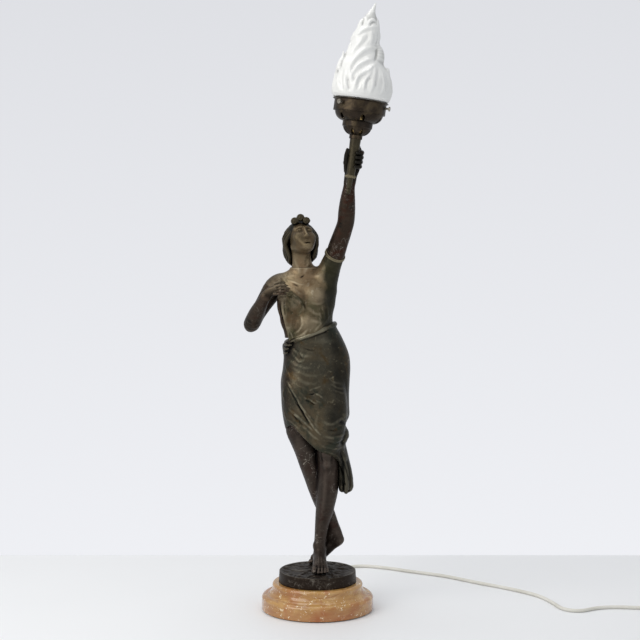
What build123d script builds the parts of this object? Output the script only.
"""Figural table lamp: a cast draped figure holds up a torch with a flame-shaped glass shade.

Row frame in millimetres. +Z is up, -Y is the front, +X is the viewer's right when facing the front.
The origin is the centre of the flat underside of the felt pad.
"""

from build123d import *
import math
import os

# ------------------------------------------------------------------ driving dimensions
# Stone foot
felt_thickness = 1.5
felt_margin = 3.0
stone_radius = 82.5
stone_band_height = 17.5
stone_height = 39.5
stone_shoulder_inset = 8.5
stone_shoulder_rise = 4.5
stone_top_radius = 67.0
stone_top_round = 4.0
stone_bore_radius = 4.6
stone_recess_radius = 16.0
stone_recess_depth = 16.0
slot_width = 8.0

# Round cast ground plate that the figure stands on
ground_radius = 57.5
ground_height = 17.0
ground_draft = 1.5
ground_wall = 3.5
ground_top_thickness = 5.0
ground_boss_radius = 9.0

# Tie bolt that clamps the stone between its washer and the ground plate
bolt_radius = 4.0
bolt_head_across_flats = 13.0
bolt_head_height = 5.0
washer_radius = 12.0
washer_thickness = 1.6
thread_clearance = 0.05
bolt_end_gap = 3.0

# Screws that hold the two feet from below
foot_screw_radius = 2.0
foot_screw_head_radius = 3.8
foot_screw_head_height = 2.6
foot_screw_bite = 7.0

# Flex
cord_diameter = 5.2
cable_clearance = 1.2
cable_ease = 0.9
cable_exit_height = 11.0
cable_bend = 20.0
strain_relief_length = 24.0
strain_relief_end_radius = 3.6
strain_relief_flange_radius = 6.2
strain_relief_flange_thickness = 2.0
strain_relief_seat = 14.0

# Figure
shell_wall = 4.0
joint_gap = 0.3
ankle_x = 3.0
ankle_y = 27.0

# Torch, along its own leaning axis, from the underside of the light fitting
torch_base = (55.2, -36.0, 638.7)
torch_lean = 7.8
handle_top_radius = 8.0
handle_ring_radius = 5.9
handle_tail_radius = 4.4
handle_bore_radius = 3.9
handle_ring_drop = 59.0
handle_tail_drop = 76.0
bead_ring_tube = 1.7
collar_radius = 9.4
collar_height = 5.0
finial_length = 8.0
grip_drop = 37.0
cable_entry_drop = 25.0
finger_radius = 3.5
finial_radius = 3.6
waist_roll_radius = 3.4
waist_roll_width = 41.5
waist_roll_depth = 30.0
head_hollow = 0.7
armlet_thickness = 1.8
armlet_height = 5.2

# Light fitting
sheet_wall = 1.2
cup_bottom_radius = 9.0
cup_radius = 21.6
cup_bowl_height = 11.0
cup_height = 19.0
cup_vent_radius = 2.2
cup_vent_count = 8
gallery_bowl_radius = 34.6
gallery_bowl_height = 13.5
gallery_band_radius = 37.4
gallery_band_height = 16.0
gallery_lip = 2.6
gallery_vent_radius = 3.2
gallery_vent_count = 6
screw_shank_radius = 1.6
screw_head_radius = 3.3
screw_head_thickness = 1.6
screw_stand_off = 5.0
screw_drop = 7.0
screw_count = 3
screw_first_angle = -15.0
nipple_radius = 5.0
nipple_wall = 1.5
nipple_below = 12.0
nipple_above = 7.0
locknut_height = 3.0
locknut_across_flats = 14.0
holder_radius = 18.6
holder_wall = 1.6
holder_height = 42.0
holder_floor = 2.4
clamp_ring_height = 3.0
core_fit = 0.2
core_height = 6.5
screw_shell_radius = 13.9
screw_shell_wall = 0.5
contact_radius = 4.0

# Bulb
bulb_cap_radius = 13.1
bulb_cap_height = 22.0
bulb_radius = 22.5
bulb_height = 76.0
bulb_wall = 0.8
stem_radius = 4.5
stem_height = 26.0

# Glass flame
shade_wall = 3.2
shade_neck_radius = 35.2
shade_seat_clearance = 0.3
shade_neck_height = 17.0

# What lies on the supply lead
switch_length = 58.0
switch_width = 22.0
switch_height = 15.0
switch_end_wall = 7.0
switch_wall = 2.5
switch_skin = 2.0
switch_split_rise = 3.4
rocker_length = 17.0
rocker_width = 11.0
rocker_swing_room = 3.0
rocker_side_room = 1.0
rocker_axis_drop = 4.2
coil_mean_radius = 28.0
coil_width = 15.8
coil_thickness = 11.0
tie_thickness = 0.9
tie_floor = 0.5
tie_sweep = 13.0
coil_stub = 30.0
coil_reach = 46.0
plug_length = 36.0
plug_width = 24.0
plug_thickness = 14.0
pin_radius = 2.0
pin_length = 19.0
pin_spacing = 19.0

# ------------------------------------------------------------------ worked-out levels
stone_bottom = felt_thickness
stone_top = stone_bottom + stone_height
recess_top = stone_bottom + stone_recess_depth
ground_top = stone_top + ground_height
ground_ceiling = ground_top - ground_top_thickness
sole = ground_top
cable_radius = cord_diameter / 2
cable_way = cable_radius + cable_clearance


# ------------------------------------------------------------------ helpers
def ring(outer, inner, bottom, height):
    """An upright tube standing at the given level."""
    body = Cylinder(outer, height, align=(Align.CENTER, Align.CENTER, Align.MIN))
    hole = Cylinder(inner, height, align=(Align.CENTER, Align.CENTER, Align.MIN))
    return Pos(0, 0, bottom) * (body - hole)


def disc(radius, bottom, height):
    """An upright solid cylinder standing at the given level."""
    return Pos(0, 0, bottom) * Cylinder(radius, height, align=(Align.CENTER, Align.CENTER, Align.MIN))


def turned(*edges):
    """A solid of revolution about Z from a closed outline of edges drawn in the XZ plane."""
    outline = Curve() + [*edges]
    return revolve(make_face(Plane.XZ * outline), Axis.Z)


def hexagon(across_flats, bottom, height):
    """An upright hexagonal prism."""
    outline = RegularPolygon(across_flats / 2, 6, major_radius=False)
    return Pos(0, 0, bottom) * extrude(outline, height)


def limb(stations, shrink=0.0):
    """A loft through elliptical sections: each station is (x, y, z, half width, half depth).

    Each section stands square to the line of the limb, with its width as near to +X as that allows.
    """
    points = [Vector(*station[:3]) for station in stations]
    sections = []
    for i, station in enumerate(stations):
        before = points[max(i - 1, 0)]
        after = points[min(i + 1, len(points) - 1)]
        along = (after - before).normalized()
        across = (Vector(1, 0, 0) - along * along.X).normalized()
        plane = Plane(origin=points[i], x_dir=across, z_dir=along)
        sections.append(plane * Ellipse(station[3] - shrink, station[4] - shrink))
    return loft(sections)


def column(stations, shrink=0.0):
    """A loft through level ellipses: each station is (z, x, y, half width, half depth)."""
    sections = [
        Pos(x, y, z) * Ellipse(width - shrink, depth - shrink)
        for z, x, y, width, depth in stations
    ]
    return loft(sections)


def stand(points):
    """Lifts points or stations of the figure, (x, y, height above the soles, ...), onto the ground plate."""
    return [(x, y, height + sole, *rest) for x, y, height, *rest in points]


def stand_levels(levels):
    """Lifts level sections of the figure, (height above the soles, ...), onto the ground plate."""
    return [(height + sole, *rest) for height, *rest in levels]


def half_space(plane, size=300.0):
    """A large block that fills the side of the plane that its normal points to."""
    return plane.location * Box(size, size, size, align=(Align.CENTER, Align.CENTER, Align.MIN))


def egg(centre, radii, turn=(0, 0, 0)):
    """A stretched ball."""
    return Pos(*centre) * Rot(*turn) * scale(Sphere(1), by=radii)


def pipe(points, radius, name, limits=None):
    """A round rod along straight runs joined by tangent arcs, as large as the runs or limits allow."""
    limits = limits or {}
    corners = [Vector(*p) for p in points]
    edges = []
    radii = []
    start = corners[0]
    for a, b, c in zip(corners, corners[1:], corners[2:]):
        back = (a - b).normalized()
        ahead = (c - b).normalized()
        turn = math.radians((b - a).get_angle(c - b))
        reach = 0.45 * min((b - a).length, (c - b).length)
        bend = min(reach / math.tan(turn / 2), limits.get(len(radii), math.inf))
        reach = bend * math.tan(turn / 2)
        inward = (back + ahead).normalized()
        middle = b + inward * (bend / math.cos(turn / 2) - bend)
        edges.append(Line(start, b + back * reach))
        edges.append(ThreePointArc(b + back * reach, middle, b + ahead * reach))
        radii.append(bend)
        start = b + ahead * reach
    edges.append(Line(start, corners[-1]))
    path = Wire(edges)
    rod = sweep(Plane(origin=path @ 0, z_dir=path % 0) * Circle(radius), path=path)
    ratio = rod.volume / (math.pi * radius**2 * path.length)
    tightest = min(radii, default=math.inf)
    print(f"{name}: {path.length:.0f} mm long, tightest arc {tightest:.1f} mm, volume ratio {ratio:.4f}")
    return rod


def above(level, size=2000.0):
    """A large block whose underside is at the given level."""
    return Pos(0, 0, level) * Box(size, size, size, align=(Align.CENTER, Align.CENTER, Align.MIN))


torch_axis = Vector(math.sin(math.radians(torch_lean)), 0, math.cos(math.radians(torch_lean)))
torch_plane = Plane(
    origin=stand([torch_base])[0],
    x_dir=(math.cos(math.radians(torch_lean)), 0, -math.sin(math.radians(torch_lean))),
    z_dir=torch_axis,
)


def on_torch(shape):
    """Moves a shape built about Z onto the leaning torch."""
    return torch_plane.location * shape


def torch_point(up, across=0.0, back=0.0):
    """The place of a point given along, across and behind the torch's axis."""
    return torch_plane.from_local_coords(Vector(across, back, up))


parts = {}

# ------------------------------------------------------------------ stone foot
cable_hole = disc(cable_way, cable_exit_height, stone_top)
cable_hole = Pos(ankle_x, ankle_y, 0) * cable_hole
rear_hole = Pos(ankle_x, 0, cable_exit_height) * Rot(-90, 0, 0) * disc(
    cable_way, ankle_y - cable_way, stone_radius
)
slot_top = cable_exit_height + cable_bend * 0.75
slot = Pos(ankle_x, 0, stone_bottom) * Box(
    slot_width,
    ankle_y + cable_bend + cable_way,
    slot_top - stone_bottom,
    align=(Align.CENTER, Align.MIN, Align.MIN),
)
relief_seat_radius = strain_relief_end_radius + 1.4
relief_seat = Pos(ankle_x, 0, cable_exit_height) * Rot(-90, 0, 0) * disc(
    relief_seat_radius, stone_radius - strain_relief_seat, strain_relief_seat + 1
)

band_top = stone_bottom + stone_band_height
shoulder_radius = stone_radius - stone_shoulder_inset
shoulder_top = band_top + stone_shoulder_rise
cove_top = stone_top - stone_top_round
cove_mid = ((shoulder_radius + stone_top_radius) / 2 - 2.2, (shoulder_top + cove_top) / 2 - 1.5)
stone_foot = turned(
    Line((0, stone_bottom), (stone_radius, stone_bottom)),
    Line((stone_radius, stone_bottom), (stone_radius, band_top)),
    ThreePointArc(
        (stone_radius, band_top),
        (stone_radius - stone_shoulder_inset * 0.3, band_top + stone_shoulder_rise * 0.7),
        (shoulder_radius, shoulder_top),
    ),
    ThreePointArc((shoulder_radius, shoulder_top), cove_mid, (stone_top_radius, cove_top)),
    ThreePointArc(
        (stone_top_radius, cove_top),
        (stone_top_radius - stone_top_round * 0.3, cove_top + stone_top_round * 0.7),
        (stone_top_radius - stone_top_round, stone_top),
    ),
    Line((stone_top_radius - stone_top_round, stone_top), (0, stone_top)),
    Line((0, stone_top), (0, stone_bottom)),
)
stone_foot -= disc(stone_bore_radius, stone_bottom, stone_height)
stone_foot -= disc(stone_recess_radius, stone_bottom, stone_recess_depth)
stone_foot -= cable_hole
stone_foot -= rear_hole
stone_foot -= slot
stone_foot -= relief_seat
parts["stone_foot"] = stone_foot
parts["felt_pad"] = disc(stone_radius - felt_margin, 0, felt_thickness)

# Moulded strain relief pressed into the back of the stone
relief_start = stone_radius - strain_relief_seat + joint_gap
relief_flange = stone_radius + joint_gap
relief_end = relief_flange + strain_relief_flange_thickness + strain_relief_length
relief_bore = cable_radius + 0.1
strain_relief = turned(
    Line((relief_bore, relief_start), (relief_seat_radius - 0.1, relief_start)),
    Line((relief_seat_radius - 0.1, relief_start), (relief_seat_radius - 0.1, relief_flange)),
    Line((relief_seat_radius - 0.1, relief_flange), (strain_relief_flange_radius, relief_flange)),
    Line(
        (strain_relief_flange_radius, relief_flange),
        (strain_relief_flange_radius, relief_flange + strain_relief_flange_thickness),
    ),
    Line(
        (strain_relief_flange_radius, relief_flange + strain_relief_flange_thickness),
        (relief_seat_radius, relief_flange + strain_relief_flange_thickness),
    ),
    Line(
        (relief_seat_radius, relief_flange + strain_relief_flange_thickness),
        (strain_relief_end_radius, relief_end),
    ),
    Line((strain_relief_end_radius, relief_end), (relief_bore, relief_end)),
    Line((relief_bore, relief_end), (relief_bore, relief_start)),
)
parts["strain_relief"] = Pos(ankle_x, 0, cable_exit_height) * Rot(-90, 0, 0) * strain_relief

# ------------------------------------------------------------------ ground plate
top_radius = ground_radius - ground_draft
ground_plate = turned(
    Line((0, ground_ceiling), (top_radius - ground_wall, ground_ceiling)),
    Line((top_radius - ground_wall, ground_ceiling), (ground_radius - ground_wall, stone_top)),
    Line((ground_radius - ground_wall, stone_top), (ground_radius, stone_top)),
    Line((ground_radius, stone_top), (top_radius, ground_top - 1)),
    Line((top_radius, ground_top - 1), (top_radius - 1, ground_top)),
    Line((top_radius - 1, ground_top), (0, ground_top)),
    Line((0, ground_top), (0, ground_ceiling)),
)
ground_plate += disc(ground_boss_radius, stone_top, ground_height - ground_top_thickness)
bolt_top = ground_top - bolt_end_gap
ground_plate -= disc(bolt_radius + thread_clearance, stone_top, bolt_top - stone_top + 0.5)
ground_plate -= Pos(ankle_x, ankle_y, 0) * disc(cable_way, stone_top, ground_height)

bolt_bottom = recess_top - washer_thickness
bolt = disc(bolt_radius, bolt_bottom, bolt_top - bolt_bottom)
bolt += hexagon(bolt_head_across_flats, bolt_bottom - bolt_head_height, bolt_head_height)
parts["tie_bolt"] = bolt
parts["tie_washer"] = ring(washer_radius, bolt_radius + 0.4, bolt_bottom, washer_thickness)

# ------------------------------------------------------------------ figure: legs and feet
# Stations of the figure are drawn as heights above its soles, which stand on the ground plate.
hip_web = 227.0
hip_web_thickness = 10.0
front_leg_line = [
    (hip_web, 17, 5, 20, 22),
    (204, 14, 3, 19.5, 20.5),
    (185, 12.5, 2, 16.5, 18),
    (168, 12, 3, 15, 16.5),
    (147, 13, 8, 15.5, 17),
    (125, 12.5, 13, 15.5, 17.5),
    (97, 10, 18, 12.5, 14.5),
    (67, 6.5, 23, 9.3, 11.2),
    (42, 4, 26.5, 7.8, 9.6),
    (28, ankle_x, ankle_y, 8.0, 10.5),
    (14, ankle_x, ankle_y - 0.5, 8.8, 13.5),
    (-2, ankle_x, ankle_y - 1, 9.2, 15.0),
]
front_foot_line = [
    (3.0, 32, 6, 8.0, 14),
    (3.2, 20, 6, 9.0, 15),
    (3.8, 8, 4.5, 10.5, 12.5),
    (4.4, -5, 2.5, 12.5, 9.5),
    (4.8, -17, 1, 13.2, 7.5),
    (5.0, -27, 0, 11.5, 5.5),
    (5.0, -32, -0.5, 7.0, 3.5),
]
back_leg_line = [
    (-24, 12, hip_web, 17, 20),
    (-23.5, 11, 204, 19, 20),
    (-17.5, 10, 178, 16, 17.5),
    (-12, 15, 157, 15, 16),
    (-6.5, 21, 138, 14.5, 16),
    (-1, 27, 118, 14, 15.5),
    (7, 34, 94, 11.5, 13),
    (15, 39.5, 74, 9.5, 11),
    (22, 43, 57, 9.5, 10.5),
    (29, 44, 45, 9.5, 9.5),
]
back_foot_line = [
    (36, 45, 45, 4.5, 6),
    (32, 45, 43, 8.0, 8.5),
    (20, 45, 36, 10.5, 9),
    (9, 45, 25, 10.5, 10.5),
    (0, 44.5, 13, 9.0, 11.5),
    (-7, 44, 5, 6.5, 11),
    (-13.5, 43.5, 2.5, 4.0, 8.5),
]
legs = column(stand_levels(front_leg_line)) + limb(stand(back_leg_line))
legs += limb(stand(front_foot_line))
legs += limb(stand(back_foot_line))
legs &= above(sole)
foot_screws = []
for screw_x, screw_y in ((4.6, -14.0), (-2.0, 44.5)):
    tapped = disc(
        foot_screw_radius + thread_clearance, ground_ceiling, ground_top_thickness + foot_screw_bite + 0.5
    )
    tapped = Pos(screw_x, screw_y, 0) * tapped
    ground_plate -= tapped
    legs -= tapped
    screw = disc(foot_screw_radius, ground_ceiling, ground_top_thickness + foot_screw_bite)
    screw += disc(foot_screw_head_radius, ground_ceiling - foot_screw_head_height, foot_screw_head_height)
    foot_screws.append(Pos(screw_x, screw_y, 0) * screw)
parts["ground_plate"] = ground_plate
parts["foot_screws"] = Compound(children=foot_screws)

# ------------------------------------------------------------------ figure: skirt
# The skirt and the torso are two castings that meet on a slanted plane under the rolled waistband.
waist_centre = (-9.5, 4.0, 351.0)
waist_slant = 20.9
skirt_line = [
    (376, -12, 4, 34.5, 26.5),
    (359, -8.5, 4, 38.5, 29),
    (347, -7, 4, 43, 31.5),
    (334, -5, 5, 47, 33.5),
    (318, -1.5, 6, 48.5, 36),
    (300, -1.5, 7, 49.5, 38),
    (282, -3.5, 6, 50.0, 37),
    (260, -4, 5, 49.8, 35),
    (238, -3, 4.5, 49, 34.5),
    (217, -1.5, 4, 47.5, 34),
    (197, 0.5, 4, 43.5, 32.5),
    (177, 5, 6, 39, 30),
    (154, 10, 8, 36, 27),
]
hem_left = (-49.5, 212.0)
hem_right = (33.0, 159.0)
drape_tail_line = [
    (38, 17, 248, 8, 11),
    (40, 16, 227, 8.5, 14),
    (37, 15, 204, 9, 15),
    (36, 15, 182, 8.5, 14),
    (41, 15, 156, 9, 14.5),
    (44.5, 15, 137, 9.5, 14),
    (43, 15, 122, 7, 11),
    (41.5, 15, 116.5, 4, 7),
]
slant = math.radians(waist_slant)
waist_plane = Plane(
    origin=stand([waist_centre])[0],
    x_dir=(math.cos(slant), 0, math.sin(slant)),
    z_dir=(-math.sin(slant), 0, math.cos(slant)),
)
above_waist = half_space(waist_plane)
hem_slope = math.degrees(math.atan2(hem_left[1] - hem_right[1], hem_right[0] - hem_left[0]))
above_hem = Pos(hem_right[0], 0, sole + hem_right[1]) * Rot(0, hem_slope, 0) * above(0)
skirt_form = column(stand_levels(skirt_line))
skirt_inside = column(stand_levels(skirt_line), shell_wall)
hip_band = above(sole + hip_web) - above(sole + hip_web + hip_web_thickness)
skirt = (skirt_form & above_hem) - (skirt_inside - hip_band) - above_waist
skirt += limb(stand(drape_tail_line))
skirt -= legs
waist_roll_path = waist_plane * Ellipse(waist_roll_width, waist_roll_depth)
waist_roll = sweep(
    Plane(origin=waist_roll_path.edge() @ 0, z_dir=waist_roll_path.edge() % 0) * Circle(waist_roll_radius),
    path=waist_roll_path.edge(),
)
skirt += waist_roll

# ------------------------------------------------------------------ figure: torso
neck_level = 449.0
torso_line = [
    (300, -1.5, 7, 49, 37.5),
    (318, -1.5, 6, 48, 35.5),
    (334, -5, 5, 46.5, 33),
    (347, -7, 4, 42.5, 31),
    (359, -8.5, 4, 38, 28.5),
    (370, -10.5, 4, 35.5, 27),
    (380, -12, 4, 34.5, 26.5),
    (392, -14, 2, 38, 29.5),
    (404, -16, 0, 41.5, 33),
    (416, -17, 2, 43.5, 31),
    (428, -18, 4, 41.5, 25),
    (438, -20, 5, 32, 19),
    (444, -22, 5, 20, 15),
    (neck_level, -22.5, 5, 12.5, 13),
]
raised_arm_line = [
    (4, 6, 416, 17, 18),
    (13, 5, 434, 17.5, 18),
    (21, 2, 452, 15.3, 15.3),
    (27, -1, 466, 14.0, 13.7),
    (33, -4, 484, 13.4, 13.0),
    (38, -8, 500, 12.3, 12.0),
    (41.5, -12, 514, 12.2, 12.2),
    (42.6, -17, 530, 12.2, 12.2),
    (43.4, -20, 546, 10.8, 10.5),
    (45.0, -22.5, 562, 8.8, 8.2),
    (47.0, -24, 575, 8.0, 6.6),
]
armlet_station = 3
bent_arm_line = [
    (-56, 4, 424, 13, 15),
    (-64, 4, 418, 15.5, 16),
    (-72, 6, 406, 14, 14.5),
    (-81, 9, 392, 12.5, 13),
    (-90, 13, 378, 12, 12),
    (-96, 16, 367, 12, 12),
]
shoulder_seam = (-66.0, 4.0, 416.0)
armlet_below, armlet_centre, armlet_above = (
    Vector(*station[:3]) for station in stand(raised_arm_line[armlet_station - 1 : armlet_station + 2])
)
armlet_along = (armlet_above - armlet_below).normalized()
armlet_across = (Vector(1, 0, 0) - armlet_along * armlet_along.X).normalized()
armlet_plane = Plane(origin=armlet_centre, x_dir=armlet_across, z_dir=armlet_along)
beyond_armlet = half_space(armlet_plane)
beyond_shoulder = half_space(Plane(origin=stand([shoulder_seam])[0], z_dir=(-0.62, 0, -0.78)))
raised_arm_whole = limb(stand(raised_arm_line))
bent_arm_whole = limb(stand(bent_arm_line))
torso = column(stand_levels(torso_line)) & above_waist
torso -= column(stand_levels(torso_line[:-3]), shell_wall)
torso += (raised_arm_whole - beyond_armlet) + (bent_arm_whole - beyond_shoulder)
torso -= waist_roll

# ------------------------------------------------------------------ figure: head
# Skull, hair swept down over the ears and gathered behind, and three curls over the brow.
head_turn = (-28, 12, 8)
head_balls = [
    ((-25.5, 2.0, 491.0), (20.5, 25.5, 27.0)),
    ((-22.0, -15.0, 479.0), (12.5, 12.0, 13.0)),
    ((-26.0, 9.0, 492.5), (26.5, 26.0, 25.5)),
    ((-25.5, 20.0, 476.0), (23.0, 18.0, 22.0)),
]
curls = [(-31.5, 1, 516, 6.0), (-24.0, 1, 520.5, 5.5), (-16.5, 1, 517, 5.5)]
neck_line = [
    (-22.5, 5, neck_level, 12.5, 13),
    (-23, 3, 458, 12, 12.5),
    (-24, 1, 468, 12.5, 13),
    (-25, 2, 482, 14, 15),
]
head = limb(stand(neck_line))
for centre, radii in head_balls:
    head += egg(stand([centre])[0], radii, head_turn)
for x, y, z, curl_radius in stand(curls):
    head += Pos(x, y, z) * Sphere(curl_radius)
head &= above(sole + neck_level)
skull_centre, skull_radii = head_balls[0]
head -= egg(stand([skull_centre])[0], tuple(radius * head_hollow for radius in skull_radii), head_turn)
parts["head"] = head

# ------------------------------------------------------------------ figure: raised arm and hand
handle_slope = (handle_top_radius - handle_ring_radius) / handle_ring_drop
grip_bend = handle_top_radius - handle_slope * (grip_drop - 2 * finger_radius * 2) + finger_radius + joint_gap
palm_line = [
    (46.8, -23.5, 574, 7.6, 6.6),
    (48.2, -22.5, 583, 9.5, 6.5),
    (50.5, -22.0, 594, 11.5, 6.6),
    (53.0, -21.5, 606, 12.0, 6.6),
    (55.0, -21.5, 616, 10.0, 6.0),
    (56.0, -22.0, 622, 6.5, 4.5),
]
raised_arm = (raised_arm_whole & beyond_armlet) + limb(stand(palm_line))
for i in range(4):
    finger_up = -grip_drop + 15 - i * finger_radius * 1.95
    curl = CenterArc((0, 0), grip_bend, -55, 165)
    finger = sweep(Plane(origin=curl @ 0, z_dir=curl % 0) * Circle(finger_radius), path=curl)
    finger += Pos(*(curl @ 0)) * Sphere(finger_radius)
    raised_arm += on_torch(Pos(0, 0, finger_up) * finger)
thumb_line = [
    (*torch_point(-grip_drop - 14, -5, 9), 4.5, 5.0),
    (*torch_point(-grip_drop - 3, -8.6, 3), 3.6, 4.2),
    (*torch_point(-grip_drop + 8, -9.4, -2), 3.0, 3.4),
    (*torch_point(-grip_drop + 15, -9.2, -3), 2.0, 2.4),
]
raised_arm += limb(thumb_line)
tip_drop = handle_tail_drop + finial_length + 4
tip_way = finial_radius + 2.5
ring_way = handle_ring_radius + bead_ring_tube * 1.45 + joint_gap
raised_arm -= on_torch(
    turned(
        Line((0, -tip_drop), (tip_way, -tip_drop)),
        Line((tip_way, -tip_drop), (ring_way, -handle_ring_drop - 3)),
        Line((ring_way, -handle_ring_drop - 3), (ring_way, -handle_ring_drop + 3)),
        Line((ring_way, -handle_ring_drop + 3), (handle_ring_radius + joint_gap, -handle_ring_drop + 5)),
        Line((handle_ring_radius + joint_gap, -handle_ring_drop + 5), (handle_top_radius + joint_gap, 0)),
        Line((handle_top_radius + joint_gap, 0), (0, 0)),
        Line((0, 0), (0, -tip_drop)),
    )
)

# ------------------------------------------------------------------ figure: bent arm and hand
forearm_line = [
    (-98.5, 18, 361, 8, 8),
    (-97, 14, 365, 11.5, 11),
    (-92, 2, 376, 12, 11.5),
    (-86, -11, 388, 10.8, 10.5),
    (-80, -24, 399, 8.8, 8.4),
    (-75.5, -33, 406.5, 7.8, 6.8),
]
hand_line = [
    (-77, -31, 405, 7.4, 6.6),
    (-71, -36, 410, 8.2, 5.6),
    (-64, -39, 413, 8.8, 4.6),
    (-57.5, -40.5, 414.5, 8.0, 3.6),
]
finger_pitch = 4.3
finger_reaches = (17.0, 19.5, 18.0, 14.0)
bent_arm = (bent_arm_whole & beyond_shoulder) + limb(stand(forearm_line)) + limb(stand(hand_line))
for i, reach in enumerate(finger_reaches):
    finger_line = [
        (-60, -40.5, 421.0 - i * finger_pitch, 2.4, 2.4),
        (-50, -41.5, 422.0 - i * finger_pitch, 2.3, 2.3),
        (-58 + reach, -39.6, 420.0 - i * finger_pitch, 1.6, 1.6),
    ]
    bent_arm += limb(stand(finger_line))
bent_arm = (bent_arm - torso).solids().sort_by(SortBy.VOLUME)[-1]

# ------------------------------------------------------------------ supply cable inside the figure
cable_through_body = [
    (ankle_x, ankle_y, 26),
    (5, 24.5, 54),
    (9.5, 19.5, 92),
    (12.5, 12, 132),
    (12, 4, 167),
    (14, 1, 200),
    (17, 4, 232),
    (5, 5, 292),
    (-8, 6, 372),
    (0, 6, 412),
    (13, 5, 436),
    (20.5, 2, 453),
    (28.5, -2, 471),
    (35.5, -6.5, 495),
    (40.8, -12, 515),
    (42.6, -17, 532),
    (43.6, -20, 548),
    (46.3, -23.8, 574),
    (50.2, -22.8, 592),
    (52.4, -26.5, 604),
]
cable_route = [
    (ankle_x, relief_end, cable_exit_height),
    (ankle_x, ankle_y, cable_exit_height),
    *stand(cable_through_body),
    torch_point(-cable_entry_drop),
    torch_point(nipple_above + 1),
]
corner_bend = {0: cable_bend}
parts["inner_cable"] = pipe(cable_route, cable_radius, "inner cable", corner_bend)
cable_way_rod = pipe(cable_route, cable_radius + cable_ease, "cable way", corner_bend)
parts["legs"] = legs - cable_way_rod
parts["skirt"] = skirt - cable_way_rod
parts["torso"] = torso - cable_way_rod
parts["raised_arm"] = raised_arm - cable_way_rod
parts["bent_arm"] = bent_arm

# ------------------------------------------------------------------ torch
handle_bottom = -handle_tail_drop
handle = turned(
    Line((0, handle_bottom), (handle_tail_radius - 1.2, handle_bottom)),
    Line((handle_tail_radius - 1.2, handle_bottom), (handle_tail_radius, -handle_ring_drop - 2.5)),
    Line((handle_tail_radius, -handle_ring_drop - 2.5), (handle_ring_radius, -handle_ring_drop)),
    Line((handle_ring_radius, -handle_ring_drop), (handle_top_radius, -collar_height)),
    Line((handle_top_radius, -collar_height), (0, -collar_height)),
    Line((0, -collar_height), (0, handle_bottom)),
)
handle -= disc(handle_bore_radius, -handle_ring_drop + 2, handle_ring_drop)
handle -= disc(nipple_radius + thread_clearance, -nipple_below, nipple_below)
handle = on_torch(handle) - cable_way_rod
parts["torch_handle"] = handle
bead_ring = Pos(0, 0, -handle_ring_drop) * Torus(handle_ring_radius + bead_ring_tube * 0.45, bead_ring_tube)
bead_ring -= disc(handle_ring_radius + 0.1, -handle_ring_drop - 3, 6)
parts["bead_ring"] = on_torch(bead_ring)
finial = Pos(0, 0, handle_bottom - finial_length / 2) * scale(Sphere(1), by=(finial_radius, finial_radius, finial_length / 2 + 1))
finial -= disc(20, handle_bottom, 20)
parts["torch_finial"] = on_torch(finial)
parts["torch_collar"] = on_torch(ring(collar_radius, nipple_radius + thread_clearance, -collar_height, collar_height))

# ------------------------------------------------------------------ light fitting
cup_shoulder = cup_radius - 1.2
cup_outline = [
    Line((0, 0), (cup_bottom_radius, 0)),
    ThreePointArc((cup_bottom_radius, 0), (cup_shoulder - 3.4, cup_bowl_height * 0.42), (cup_shoulder, cup_bowl_height)),
    Line((cup_shoulder, cup_bowl_height), (cup_radius, cup_bowl_height + 1)),
    Line((cup_radius, cup_bowl_height + 1), (cup_radius, cup_height)),
    Line((cup_radius, cup_height), (cup_radius - sheet_wall, cup_height)),
    Line((cup_radius - sheet_wall, cup_height), (cup_radius - sheet_wall, cup_bowl_height + 1)),
    Line((cup_radius - sheet_wall, cup_bowl_height + 1), (cup_shoulder - sheet_wall, cup_bowl_height)),
    ThreePointArc(
        (cup_shoulder - sheet_wall, cup_bowl_height),
        (cup_shoulder - 3.4 - sheet_wall * 0.8, cup_bowl_height * 0.42 + sheet_wall * 0.6),
        (cup_bottom_radius, sheet_wall),
    ),
    Line((cup_bottom_radius, sheet_wall), (0, sheet_wall)),
    Line((0, sheet_wall), (0, 0)),
]
socket_cup = turned(*cup_outline) - disc(nipple_radius + thread_clearance, -1, 4)
for i in range(cup_vent_count):
    vent = Rot(0, 0, i * 360 / cup_vent_count + 22.5) * Pos(cup_shoulder - 3.4, 0, cup_bowl_height * 0.42)
    socket_cup -= vent * Rot(0, 55, 0) * Cylinder(cup_vent_radius, 12)
parts["socket_cup"] = on_torch(socket_cup)

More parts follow.
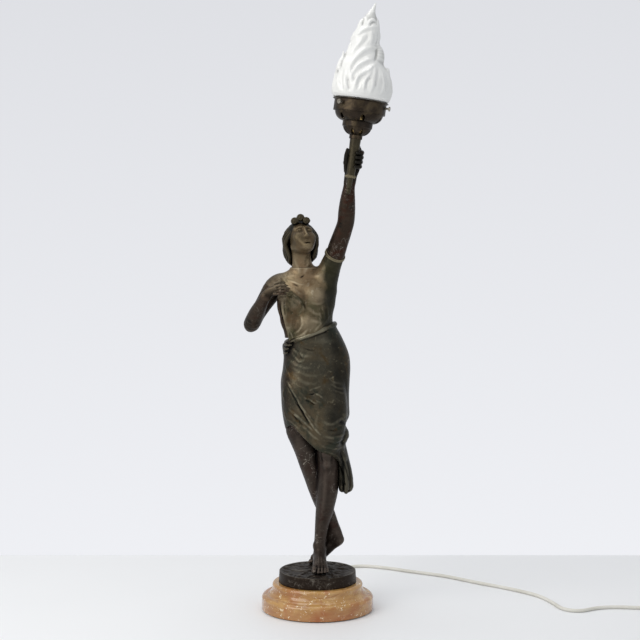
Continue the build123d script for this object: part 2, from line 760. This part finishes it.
bowl_bottom = cup_height
bowl_top = bowl_bottom + gallery_bowl_height
band_bottom = bowl_top + sheet_wall
rim_level = band_bottom + gallery_band_height
bowl_inner = holder_radius + 0.6
bowl_start = cup_radius + 0.4
bowl_mid = (gallery_bowl_radius - 3.4, bowl_bottom + gallery_bowl_height * 0.36)
shade_gallery = turned(
    Line((bowl_inner, bowl_bottom), (bowl_start, bowl_bottom)),
    ThreePointArc((bowl_start, bowl_bottom), bowl_mid, (gallery_bowl_radius, bowl_top)),
    Line((gallery_bowl_radius, bowl_top), (gallery_band_radius, bowl_top)),
    Line((gallery_band_radius, bowl_top), (gallery_band_radius, rim_level - 2)),
    Line((gallery_band_radius, rim_level - 2), (gallery_band_radius + gallery_lip, rim_level - 0.6)),
    Line((gallery_band_radius + gallery_lip, rim_level - 0.6), (gallery_band_radius + gallery_lip, rim_level)),
    Line((gallery_band_radius + gallery_lip, rim_level), (gallery_band_radius - sheet_wall, rim_level)),
    Line((gallery_band_radius - sheet_wall, rim_level), (gallery_band_radius - sheet_wall, band_bottom)),
    Line((gallery_band_radius - sheet_wall, band_bottom), (gallery_bowl_radius - sheet_wall, band_bottom)),
    ThreePointArc(
        (gallery_bowl_radius - sheet_wall, band_bottom),
        (bowl_mid[0] - sheet_wall * 0.8, bowl_mid[1] + sheet_wall * 0.7),
        (bowl_start, bowl_bottom + sheet_wall),
    ),
    Line((bowl_start, bowl_bottom + sheet_wall), (bowl_inner, bowl_bottom + sheet_wall)),
    Line((bowl_inner, bowl_bottom + sheet_wall), (bowl_inner, bowl_bottom)),
)
for i in range(gallery_vent_count):
    vent = Rot(0, 0, i * 360 / gallery_vent_count - 80) * Pos(bowl_mid[0], 0, bowl_mid[1])
    shade_gallery -= vent * Rot(0, 60, 0) * Cylinder(gallery_vent_radius, 12)
screw_level = rim_level - screw_drop
screw_tip = shade_neck_radius + joint_gap / 2
head_start = gallery_band_radius + screw_stand_off
for i in range(screw_count):
    angle = screw_first_angle - i * 360 / screw_count
    tapped = Pos(gallery_band_radius, 0, screw_level) * Rot(0, 90, 0) * Cylinder(screw_shank_radius + thread_clearance, 8)
    shade_gallery -= Rot(0, 0, angle) * tapped
    shank = Pos(screw_tip, 0, screw_level) * Rot(0, 90, 0) * Cylinder(
        screw_shank_radius, head_start - screw_tip, align=(Align.CENTER, Align.CENTER, Align.MIN)
    )
    knob = Pos(head_start, 0, screw_level) * Rot(0, 90, 0) * Cylinder(
        screw_head_radius, screw_head_thickness, align=(Align.CENTER, Align.CENTER, Align.MIN)
    )
    parts[f"thumb_screw_{i + 1}"] = on_torch(Rot(0, 0, angle) * (shank + knob))
parts["shade_gallery"] = on_torch(shade_gallery)

nipple = ring(nipple_radius, nipple_radius - nipple_wall, -nipple_below + 1, nipple_below - 1 + nipple_above + 1)
parts["nipple"] = on_torch(nipple)
holder_bottom = sheet_wall
holder_inner_floor = holder_bottom + holder_floor
locknut = hexagon(locknut_across_flats, holder_inner_floor, locknut_height)
locknut -= disc(nipple_radius + thread_clearance, holder_inner_floor - 1, locknut_height + 2)
parts["nipple_locknut"] = on_torch(locknut)
holder_foot_radius = 10.0
holder_shoulder = 12.0
holder_top = holder_bottom + holder_height
holder_shell = turned(
    Line((nipple_radius + thread_clearance, holder_bottom), (holder_foot_radius - 1.4, holder_bottom)),
    Line((holder_foot_radius - 1.4, holder_bottom), (holder_radius, holder_shoulder + 1)),
    Line((holder_radius, holder_shoulder + 1), (holder_radius, holder_top)),
    Line((holder_radius, holder_top), (holder_radius - holder_wall, holder_top)),
    Line((holder_radius - holder_wall, holder_top), (holder_radius - holder_wall, holder_shoulder + 2)),
    Line((holder_radius - holder_wall, holder_shoulder + 2), (holder_foot_radius - 1.4, holder_inner_floor)),
    Line((holder_foot_radius - 1.4, holder_inner_floor), (nipple_radius + thread_clearance, holder_inner_floor)),
    Line((nipple_radius + thread_clearance, holder_inner_floor), (nipple_radius + thread_clearance, holder_bottom)),
)
parts["lampholder_shell"] = on_torch(holder_shell)
clamp_ring_bottom = bowl_bottom + sheet_wall
parts["clamp_ring"] = on_torch(
    ring(bowl_start, holder_radius + thread_clearance, clamp_ring_bottom, clamp_ring_height)
)
core_bottom = holder_shoulder + 2.4
core_top = core_bottom + core_height
core = disc(holder_radius - holder_wall - core_fit, core_bottom, core_top - core_bottom)
core -= disc(contact_radius + 0.2, core_bottom - 1, 3)
parts["lampholder_core"] = on_torch(core)
shell_top = holder_top - 1.5
parts["screw_shell"] = on_torch(
    ring(screw_shell_radius, screw_shell_radius - screw_shell_wall, core_top, shell_top - core_top)
)
parts["centre_contact"] = on_torch(disc(contact_radius, core_top, 1.6))

# ------------------------------------------------------------------ bulb
bulb_bottom = core_top + 1.6 + 0.2
cap_shoulder = bulb_bottom + 2.5
bulb_cap_top = bulb_bottom + bulb_cap_height
cap = turned(
    Line((0, bulb_bottom), (5, bulb_bottom)),
    Line((5, bulb_bottom), (bulb_cap_radius, cap_shoulder + 2)),
    Line((bulb_cap_radius, cap_shoulder + 2), (bulb_cap_radius, bulb_cap_top)),
    Line((bulb_cap_radius, bulb_cap_top), (bulb_cap_radius - 0.6, bulb_cap_top)),
    Line((bulb_cap_radius - 0.6, bulb_cap_top), (bulb_cap_radius - 0.6, cap_shoulder + 3)),
    Line((bulb_cap_radius - 0.6, cap_shoulder + 3), (0, cap_shoulder + 3)),
    Line((0, cap_shoulder + 3), (0, bulb_bottom)),
)
parts["bulb_cap"] = on_torch(cap)
bulb_top = bulb_bottom + bulb_height
bulb_centre = bulb_top - bulb_radius
bulb_neck_radius = bulb_cap_radius - 1.0
bulb_tangent = 38.0
tangent_r = bulb_radius * math.cos(math.radians(bulb_tangent))
tangent_z = bulb_centre - bulb_radius * math.sin(math.radians(bulb_tangent))


def bulb_body(shrink):
    """The glass envelope's solid form, smaller all round by shrink."""
    ball = Pos(0, 0, bulb_centre) * Sphere(bulb_radius - shrink)
    throat = turned(
        Line((0, bulb_cap_top - 6), (bulb_neck_radius - shrink, bulb_cap_top - 6)),
        Line((bulb_neck_radius - shrink, bulb_cap_top - 6), (bulb_neck_radius - shrink, bulb_cap_top + 1)),
        Line(
            (bulb_neck_radius - shrink, bulb_cap_top + 1),
            (tangent_r - shrink * math.cos(math.radians(bulb_tangent)), tangent_z + shrink * 0.5),
        ),
        Line((tangent_r - shrink * math.cos(math.radians(bulb_tangent)), tangent_z + shrink * 0.5), (0, bulb_centre)),
        Line((0, bulb_centre), (0, bulb_cap_top - 6)),
    )
    return ball + throat


bulb_glass = bulb_body(0) - bulb_body(bulb_wall)
parts["bulb_glass"] = on_torch(bulb_glass)
stem_bottom = cap_shoulder + 3.0
stem = disc(stem_radius, stem_bottom, stem_height) + disc(stem_radius + 1.5, stem_bottom + stem_height, 1.2)
parts["bulb_stem"] = on_torch(stem)

# ------------------------------------------------------------------ glass flame
neck_bottom = band_bottom + shade_seat_clearance
neck_top = neck_bottom + shade_neck_height
flame_line = [
    (neck_top + 2, 0.0, 38.5),
    (neck_top + 5, 0.0, 42.3),
    (neck_top + 11, 0.0, 44.3),
    (neck_top + 21, -0.6, 43.6),
    (neck_top + 31, -1.6, 41.2),
    (neck_top + 45, -3.4, 37.0),
    (neck_top + 60, -3.0, 30.6),
    (neck_top + 77, -2.6, 25.2),
    (neck_top + 93, -2.9, 20.6),
    (neck_top + 107, -3.2, 16.8),
    (neck_top + 122, -2.4, 11.6),
    (neck_top + 133, 0.4, 6.0),
    (neck_top + 140, 2.6, 2.2),
]


def flame_body(shrink, keep):
    """The glass flame's solid form, smaller all round by shrink, through the first keep sections."""
    rings = [Pos(0, 0, neck_top - 1) * Circle(shade_neck_radius - shrink)]
    rings += [Pos(dx, 0, up) * Circle(radius - shrink) for up, dx, radius in flame_line[:keep]]
    return loft(rings)


flame_inner_sections = 11
flame = disc(shade_neck_radius, neck_bottom, neck_top - 1 - neck_bottom) + flame_body(0, len(flame_line))
flame -= disc(shade_neck_radius - shade_wall, neck_bottom, neck_top - 1 - neck_bottom)
flame -= flame_body(shade_wall, flame_inner_sections)
parts["flame_shade"] = on_torch(flame)

# ------------------------------------------------------------------ armlet
upper_arm_width, upper_arm_depth = raised_arm_line[armlet_station][3:5]
armlet_outer = Ellipse(upper_arm_width + armlet_thickness, upper_arm_depth + armlet_thickness)
armlet_inner = Ellipse(upper_arm_width - 0.5, upper_arm_depth - 0.5)
armlet = armlet_plane * Pos(0, 0, -armlet_height / 2) * extrude(armlet_outer - armlet_inner, armlet_height)
parts["armlet"] = armlet - parts["torso"] - parts["raised_arm"]

# ------------------------------------------------------------------ supply lead on the table
floor_z = cord_diameter / 2
lead_route = [
    (ankle_x, relief_end, cable_exit_height),
    (ankle_x, relief_end + 17, cable_exit_height),
    (5, 147, 6.2),
    (11, 172, floor_z),
    (21, 204, floor_z),
    (37, 236, floor_z),
    (70, 257, floor_z),
    (110, 243, floor_z),
    (154, 214, floor_z),
    (204, 188, floor_z),
    (250, 144, floor_z),
    (300, 104, floor_z),
    (338, 64, floor_z),
    (353, 23, floor_z),
    (362, -18, floor_z),
    (387, -28, floor_z),
    (413, -8, floor_z),
    (444, -3, floor_z),
    (472, -8, floor_z),
    (497, -8, floor_z),
]
parts["supply_lead"] = pipe(lead_route, cable_radius, "supply lead")

switch_start = lead_route[-1][0]
switch_y = lead_route[-1][1]
switch_end = switch_start + switch_length
switch_body = Pos((switch_start + switch_end) / 2, switch_y, switch_height / 2) * Box(
    switch_length, switch_width, switch_height
)
switch_body = fillet(switch_body.edges().filter_by(Axis.Z), 6)
switch_body = fillet(switch_body.faces().sort_by(Axis.Z)[-1].edges(), 3)
above_split = above(floor_z + switch_split_rise)
switch_hollow = Pos((switch_start + switch_end) / 2, switch_y, switch_height / 2) * Box(
    switch_length - 2 * switch_end_wall, switch_width - 2 * switch_wall, switch_height - 2 * switch_skin
)
rocker_slot = Pos((switch_start + switch_end) / 2, switch_y, switch_height) * Box(
    rocker_length + rocker_swing_room, rocker_width + rocker_side_room, switch_height
)
parts["switch_base"] = switch_body - above_split - switch_hollow
parts["switch_cover"] = (switch_body & above_split) - switch_hollow - rocker_slot
rocker_axis_z = switch_height - rocker_axis_drop
rocker_tilt = 12.0
rocker = Pos(0, rocker_width / 2, 0) * Rot(90, 0, 0) * extrude(
    make_face(
        Curve()
        + [
            ThreePointArc((-rocker_length / 2, 5.0), (0, 3.4), (rocker_length / 2, 5.0)),
            Line((rocker_length / 2, 5.0), (rocker_length / 2 - 2.2, -1.5)),
            ThreePointArc((rocker_length / 2 - 2.2, -1.5), (0, -3.4), (-rocker_length / 2 + 2.2, -1.5)),
            Line((-rocker_length / 2 + 2.2, -1.5), (-rocker_length / 2, 5.0)),
        ]
    ),
    rocker_width,
)
rocker_place = Pos((switch_start + switch_end) / 2, switch_y, rocker_axis_z)
parts["switch_rocker"] = rocker_place * Rot(0, rocker_tilt, 0) * rocker

# The rest of the lead is wound into a coil that ends in the plug
coil_x = switch_end + coil_reach
coil_y = switch_y + coil_mean_radius
coil_section = Pos(coil_mean_radius, coil_thickness / 2 + tie_floor) * RectangleRounded(coil_width, coil_thickness, 4)
coil = revolve(Plane.XZ * coil_section, Axis.Z)
link = [(switch_end, switch_y, floor_z), (coil_x - coil_stub, switch_y, floor_z)]
parts["coil_link"] = pipe(link, cable_radius, "coil link")
coil = Pos(coil_x, coil_y, 0) * coil
coil_lead_in = [(coil_x - coil_stub, switch_y, floor_z), (coil_x, switch_y, floor_z)]
coil += pipe(coil_lead_in, cable_radius, "coil lead-in")
tail_x = coil_x + coil_mean_radius
coil_lead_out = [(tail_x, coil_y, floor_z), (tail_x, coil_y + coil_stub, floor_z)]
coil += pipe(coil_lead_out, cable_radius, "coil lead-out")
parts["coil"] = coil
tail_run = 10.0
tail_climb = 14.0
tail_start = coil_y + coil_stub
plug_start = tail_start + 2 * tail_run + tail_climb
tail_rise = plug_thickness / 2
tail = [
    (tail_x, tail_start, floor_z),
    (tail_x, tail_start + tail_run, floor_z),
    (tail_x, plug_start - tail_run, tail_rise),
    (tail_x, plug_start, tail_rise),
]
parts["coil_tail"] = pipe(tail, cable_radius, "coil tail")
tie_section = Pos(coil_mean_radius, coil_thickness / 2 + tie_floor) * (
    RectangleRounded(coil_width + 2 * tie_thickness, coil_thickness + 2 * tie_thickness, 4 + tie_thickness)
    - RectangleRounded(coil_width + 0.2, coil_thickness + 0.2, 4.1)
)
tie = Pos(coil_x, coil_y, 0) * Rot(0, 0, 140) * revolve(Plane.XZ * tie_section, Axis.Z, tie_sweep)
parts["coil_tie"] = tie & above(0)

plug_sections = [
    (plug_start, 7.0, 7.0),
    (plug_start + 5, 8.5, 8.0),
    (plug_start + 14, 13.0, 12.0),
    (plug_start + 26, plug_width, plug_thickness),
    (plug_start + plug_length, plug_width + 10, plug_thickness),
]
plug_faces = []
for y, width, thickness in plug_sections:
    outline = RectangleRounded(width, thickness, thickness * 0.42)
    plug_faces.append(Plane(origin=(tail_x, y, tail_rise), x_dir=(1, 0, 0), z_dir=(0, 1, 0)) * outline)
plug_end = plug_start + plug_length
parts["plug_body"] = loft(plug_faces)
pins = []
for side in (-1, 1):
    pin = Cylinder(pin_radius, pin_length, align=(Align.CENTER, Align.CENTER, Align.MIN))
    pins.append(Pos(tail_x + side * pin_spacing / 2, plug_end, tail_rise) * Rot(-90, 0, 0) * pin)
parts["plug_pins"] = Compound(children=pins)

# ------------------------------------------------------------------ write
os.makedirs("parts", exist_ok=True)
for name, shape in parts.items():
    solids = shape.solids()
    export_step(solids[0] if len(solids) == 1 else Compound(children=list(solids)), f"parts/{name}.step")
print(len(parts), "nodes")
